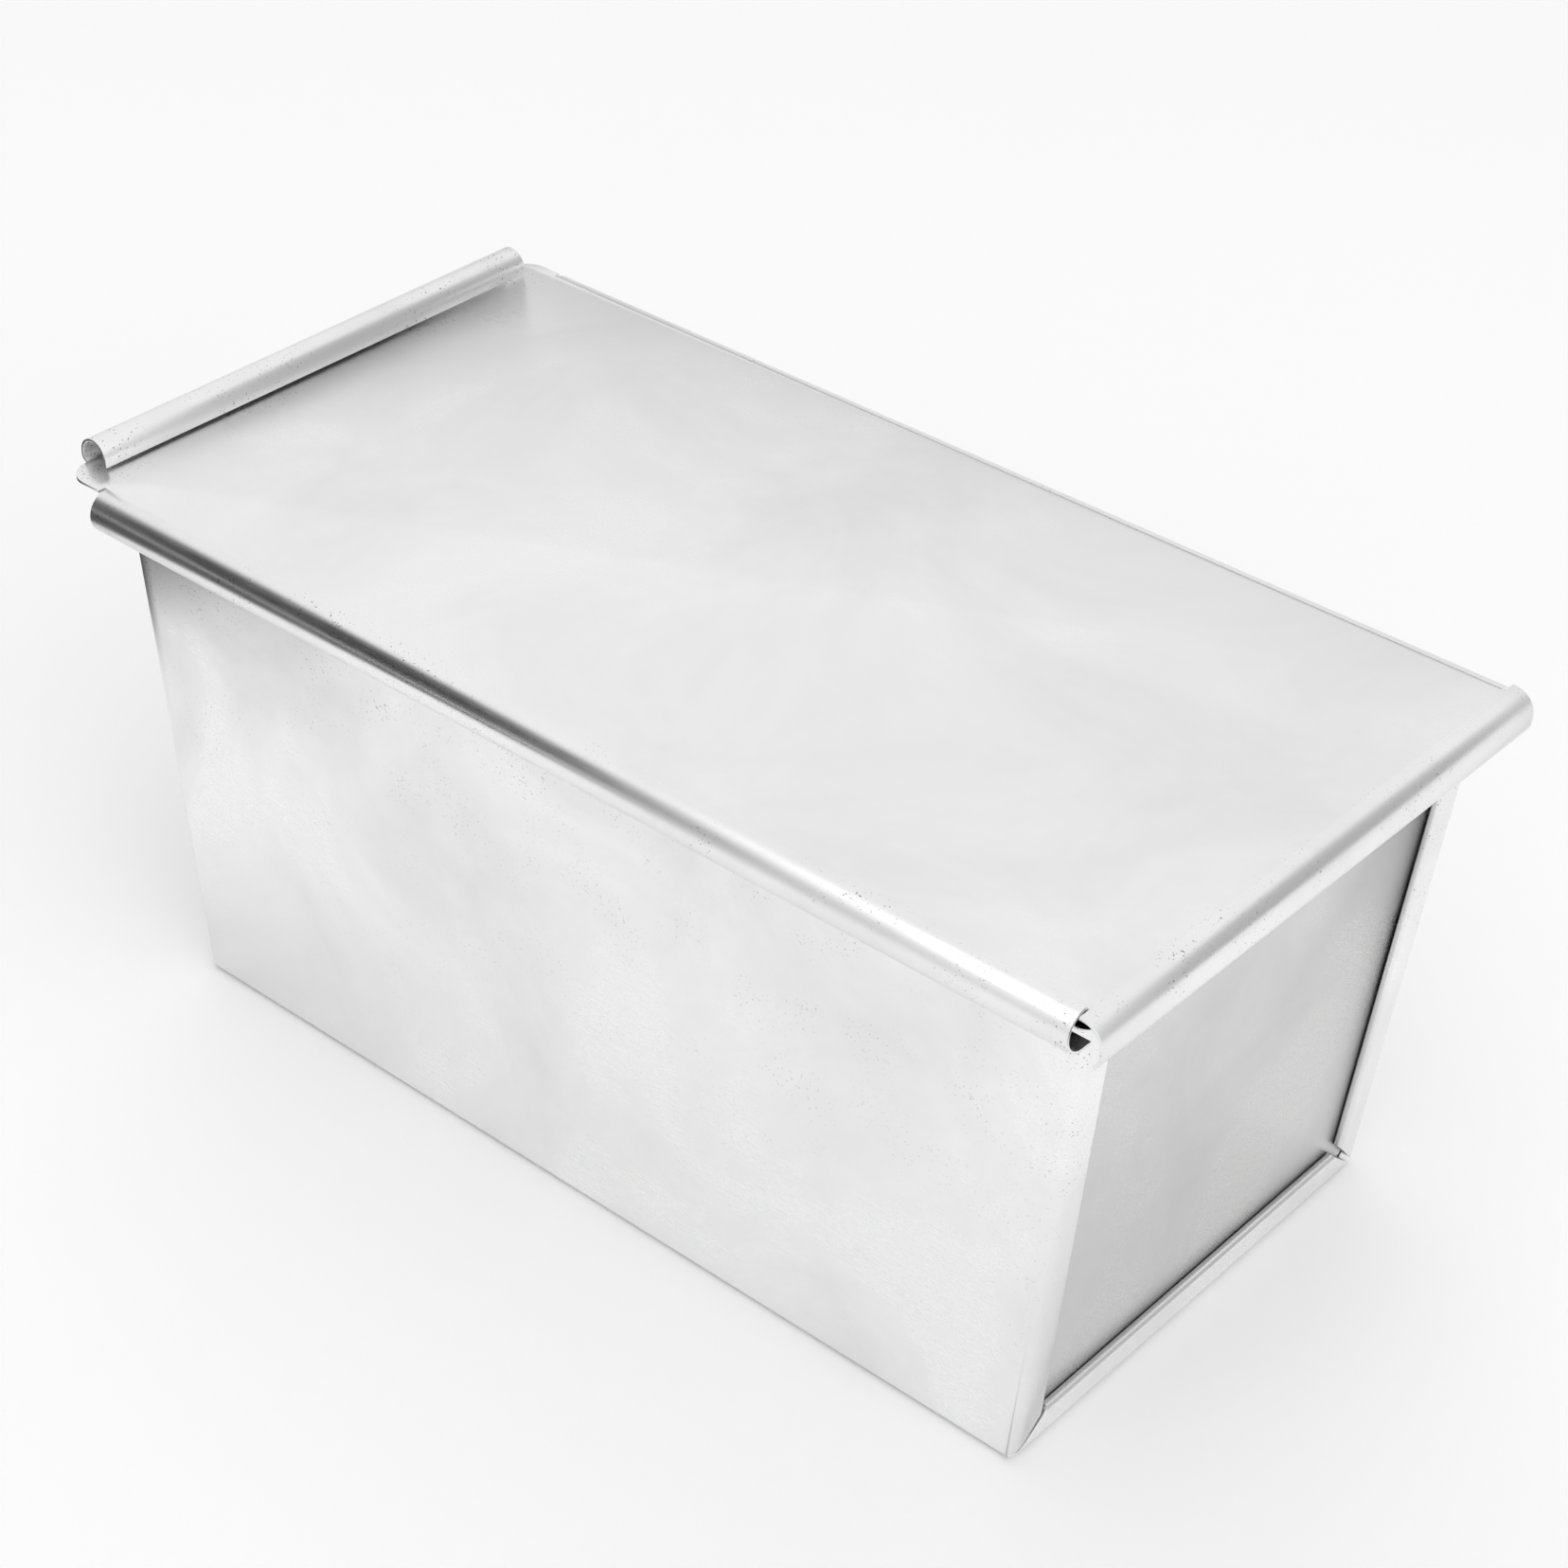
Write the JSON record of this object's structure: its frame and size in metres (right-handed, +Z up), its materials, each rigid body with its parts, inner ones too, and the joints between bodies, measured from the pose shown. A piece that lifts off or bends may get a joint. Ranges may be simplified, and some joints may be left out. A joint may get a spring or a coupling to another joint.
{
  "type": "pullman loaf pan with sliding lid",
  "caption": "Deep lidded loaf pan folded from sheet metal, with flared walls, lock-seamed ends and a flat lid that slides along the rolled rim.",
  "frame": {"origin": "middle of the floor's underside", "axes": "+Z up, X along the pan with the lid's handle at -X, the pictured long side faces -Y"},
  "size_m": [0.2323, 0.123, 0.1099],
  "materials": {
    "pan_sheet": "satin aluminised steel sheet",
    "lid_sheet": "satin aluminised steel sheet",
    "rim_wire": "galvanised steel wire"
  },
  "bodies": {
    "pan": {"pan_body": "pan_sheet", "end_panel_left": "pan_sheet", "end_panel_right": "pan_sheet", "rim_wire_front": "rim_wire", "rim_wire_back": "rim_wire", "rim_wire_left": "rim_wire", "rim_wire_right": "rim_wire"},
    "lid": {"lid": "lid_sheet"}
  },
  "joints": [
    {"name": "lid_slide", "type": "slide", "parent": "pan", "child": "lid", "axis": [1, 0, 0], "range_m": [0, 0.235]}
  ]
}
